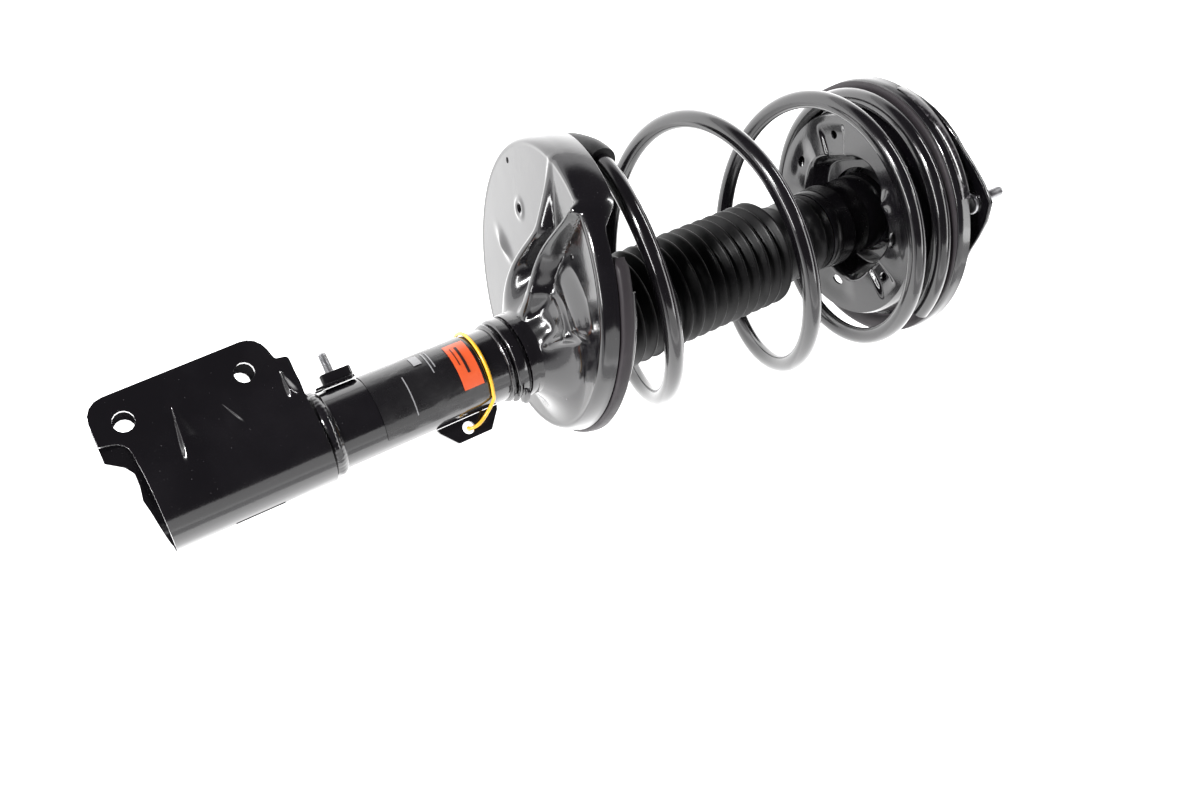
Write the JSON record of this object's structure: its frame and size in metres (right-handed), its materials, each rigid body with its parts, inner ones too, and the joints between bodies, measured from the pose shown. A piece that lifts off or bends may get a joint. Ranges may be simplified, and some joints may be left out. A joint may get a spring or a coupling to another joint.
{
  "type": "strut assembly",
  "caption": "Complete suspension strut: damper with clevis knuckle bracket, coil spring between pressed seats, dust boot and swivelling studded top mount.",
  "frame": {"origin": "centre of the knuckle clevis, half way between its two bolt holes and between its ears", "axes": "+X along the strut axis towards the top mount, +Y from the strut axis towards the clevis ears, +Z square to the ears"},
  "size_m": [0.6316, 0.2367, 0.2045],
  "materials": {
    "black_paint": "gloss black paint",
    "spring_paint": "gloss black powder coat",
    "rubber": "matte moulded rubber",
    "steel": "plated steel",
    "chrome": "hard chrome, polished",
    "plastic": "black moulded plastic",
    "foam": "microcellular foam",
    "label": "satin black film",
    "orange": "satin orange film",
    "yellow": "satin elastic band"
  },
  "bodies": {
    "strut_body": {"strut_tube": "black_paint", "bottom_cap": "black_paint", "inner_cylinder": "steel", "base_valve": "steel", "rod_guide": "steel", "rod_seal": "rubber", "gland_cap": "black_paint", "knuckle_bracket": "black_paint", "bracket_stiffener": "black_paint", "bracket_weld": "black_paint", "clip_plate": "black_paint", "clip_block": "black_paint", "clip_stud": "steel", "hose_tab": "black_paint", "seat_weld": "black_paint", "seat_collar": "black_paint", "lower_spring_seat": "black_paint", "lower_spring_pad": "rubber", "coil_spring": "spring_paint", "spring_end_sleeve": "rubber", "product_label": "label", "label_patch": "orange", "tag_band": "yellow"},
    "upper_seat": {"upper_spring_seat": "black_paint", "upper_spring_pad": "rubber", "dust_boot": "rubber", "boot_cup": "plastic", "bump_stop": "foam", "bearing_lower_race": "steel"},
    "top_mount": {"bearing_ball_ring": "steel", "bearing_upper_race": "steel", "mount_housing": "black_paint", "mount_rubber": "rubber", "mount_sleeve": "steel", "rebound_washer": "steel", "rod_nut": "steel", "mount_plate": "black_paint", "mount_stud_1": "steel", "mount_stud_2": "steel", "mount_stud_3": "steel", "piston_rod": "chrome", "piston": "steel", "piston_band": "plastic", "piston_nut": "steel", "rebound_stop": "rubber"}
  },
  "joints": [
    {"name": "damper_stroke", "type": "slide", "parent": "strut_body", "child": "upper_seat", "axis": [1, 0, 0], "range_m": [-0.12, 0], "deforming": ["coil_spring", "dust_boot"]},
    {"name": "steer_swivel", "type": "hinge", "parent": "upper_seat", "child": "top_mount", "pos_m": [0.5318, -0.0495, 0], "axis": [1, 0, 0], "continuous": true}
  ]
}
